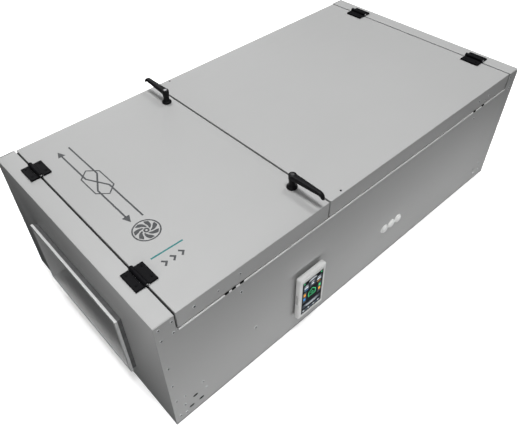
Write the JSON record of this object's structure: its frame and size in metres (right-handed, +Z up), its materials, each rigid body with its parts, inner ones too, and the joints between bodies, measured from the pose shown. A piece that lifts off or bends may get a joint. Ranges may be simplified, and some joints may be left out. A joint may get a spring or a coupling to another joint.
{
  "type": "heat recovery unit",
  "caption": "Flat rectangular heat recovery ventilation unit: insulated sheet casing with hinged top hatches, clamping levers, flanged duct collars, plate exchanger and fans.",
  "frame": {"origin": "middle of the casing's underside", "axes": "+X along the casing from the supply end to the exhaust end, -Y the service side with the cable grommets, +Z up through the hatches"},
  "size_m": [1.642, 0.8786, 0.5323],
  "materials": {
    "casing_paint": "smooth semi-gloss light grey powder coat",
    "galvanised_sheet": "bare galvanised sheet",
    "bright_steel": "bright zinc-plated turned steel",
    "black_nylon": "fine-grained glass-filled nylon",
    "black_rubber": "closed-cell sealing rubber",
    "mineral_wool": "faced mineral wool board",
    "exchanger_foil": "thin corrugated plates",
    "filter_media": "pleated filter medium in a board frame",
    "white_plastic": "satin white moulded plastic",
    "grey_plastic": "grey moulded plastic",
    "screen_glass": "black display window",
    "pale_bush": "pale moulded bush"
  },
  "bodies": {
    "casing": {"base_panel": "casing_paint", "bypass_duct": "galvanised_sheet", "cable_grommet_1": "pale_bush", "cable_grommet_2": "pale_bush", "cable_grommet_3": "pale_bush", "centre_beam": "galvanised_sheet", "control_box": "grey_plastic", "control_box_lid": "grey_plastic", "controller_holder": "white_plastic", "damper_actuator": "grey_plastic", "drain_pan": "galvanised_sheet", "exchanger_core": "exchanger_foil", "exhaust_collar": "galvanised_sheet", "exhaust_fan_motor": "grey_plastic", "exhaust_fan_plate": "galvanised_sheet", "extract_collar": "galvanised_sheet", "extract_filter": "filter_media", "far_divider": "galvanised_sheet", "far_end_panel": "casing_paint", "far_front_hinge_fixed_leaf": "black_nylon", "far_front_hinge_pin": "bright_steel", "far_rear_hinge_fixed_leaf": "black_nylon", "far_rear_hinge_pin": "bright_steel", "far_top_rail": "galvanised_sheet", "front_side_panel": "casing_paint", "insulation_liner": "mineral_wool", "near_divider": "galvanised_sheet", "near_end_panel": "casing_paint", "near_front_hinge_fixed_leaf": "black_nylon", "near_front_hinge_pin": "bright_steel", "near_rear_hinge_fixed_leaf": "black_nylon", "near_rear_hinge_pin": "bright_steel", "near_top_rail": "galvanised_sheet", "outdoor_collar": "galvanised_sheet", "outdoor_filter": "filter_media", "rear_side_panel": "casing_paint", "supply_collar": "galvanised_sheet", "supply_fan_motor": "grey_plastic", "supply_fan_plate": "galvanised_sheet"},
    "small_hatch": {"small_hatch_skin": "casing_paint", "small_hatch_insulation": "mineral_wool", "small_hatch_gasket": "black_rubber", "near_front_hinge_lid_leaf": "black_nylon", "near_rear_hinge_lid_leaf": "black_nylon"},
    "large_hatch": {"large_hatch_skin": "casing_paint", "large_hatch_insulation": "mineral_wool", "large_hatch_gasket": "black_rubber", "far_front_hinge_lid_leaf": "black_nylon", "far_rear_hinge_lid_leaf": "black_nylon"},
    "front_stud": {"front_clamp_insert": "bright_steel", "front_clamp_spring": "bright_steel"},
    "rear_stud": {"rear_clamp_insert": "bright_steel", "rear_clamp_spring": "bright_steel"},
    "front_lever": {"front_clamp_handle": "black_nylon"},
    "rear_lever": {"rear_clamp_handle": "black_nylon"},
    "supply_wheel": {"supply_fan_impeller": "black_nylon"},
    "exhaust_wheel": {"exhaust_fan_impeller": "black_nylon"},
    "damper": {"bypass_damper": "galvanised_sheet"},
    "controller": {"controller_housing": "white_plastic", "controller_screen": "screen_glass"}
  },
  "joints": [
    {"name": "small_hatch_hinge", "type": "hinge", "parent": "casing", "child": "small_hatch", "pos_m": [-0.7387, 0, 0.4888], "axis": [0, -1, 0], "range_deg": [0, 110]},
    {"name": "large_hatch_hinge", "type": "hinge", "parent": "casing", "child": "large_hatch", "pos_m": [0.74325, 0, 0.4888], "axis": [0, 1, 0], "range_deg": [0, 110]},
    {"name": "front_clamp_turn", "type": "hinge", "parent": "small_hatch", "child": "front_stud", "pos_m": [-0.24, -0.2985, 0.481], "axis": [0, 0, -1], "range_deg": [0, 180]},
    {"name": "front_clamp_lift", "type": "slide", "parent": "front_stud", "child": "front_lever", "axis": [0, 0, 1], "range_m": [0, 0.004], "stiffness_N_per_m": 1500, "springref_m": -0.002, "deforming": ["front_clamp_spring"]},
    {"name": "rear_clamp_turn", "type": "hinge", "parent": "small_hatch", "child": "rear_stud", "pos_m": [-0.24, 0.2985, 0.481], "axis": [0, 0, 1], "range_deg": [0, 180]},
    {"name": "rear_clamp_lift", "type": "slide", "parent": "rear_stud", "child": "rear_lever", "axis": [0, 0, 1], "range_m": [0, 0.004], "stiffness_N_per_m": 1500, "springref_m": -0.002, "deforming": ["rear_clamp_spring"]},
    {"name": "supply_fan_spin", "type": "hinge", "parent": "casing", "child": "supply_wheel", "pos_m": [-0.55, -0.167, 0.2245], "axis": [-1, 0, 0], "continuous": true},
    {"name": "exhaust_fan_spin", "type": "hinge", "parent": "casing", "child": "exhaust_wheel", "pos_m": [0.55, -0.167, 0.2245], "axis": [1, 0, 0], "continuous": true},
    {"name": "bypass_damper_turn", "type": "hinge", "parent": "casing", "child": "damper", "pos_m": [-0.21872, 0.12753, 0.346], "axis": [0.5623, 0.8269, 0], "range_deg": [0, 90]},
    {"name": "controller_pull", "type": "slide", "parent": "casing", "child": "controller", "axis": [0, -1, 0], "range_m": [0, 0.03]}
  ]
}
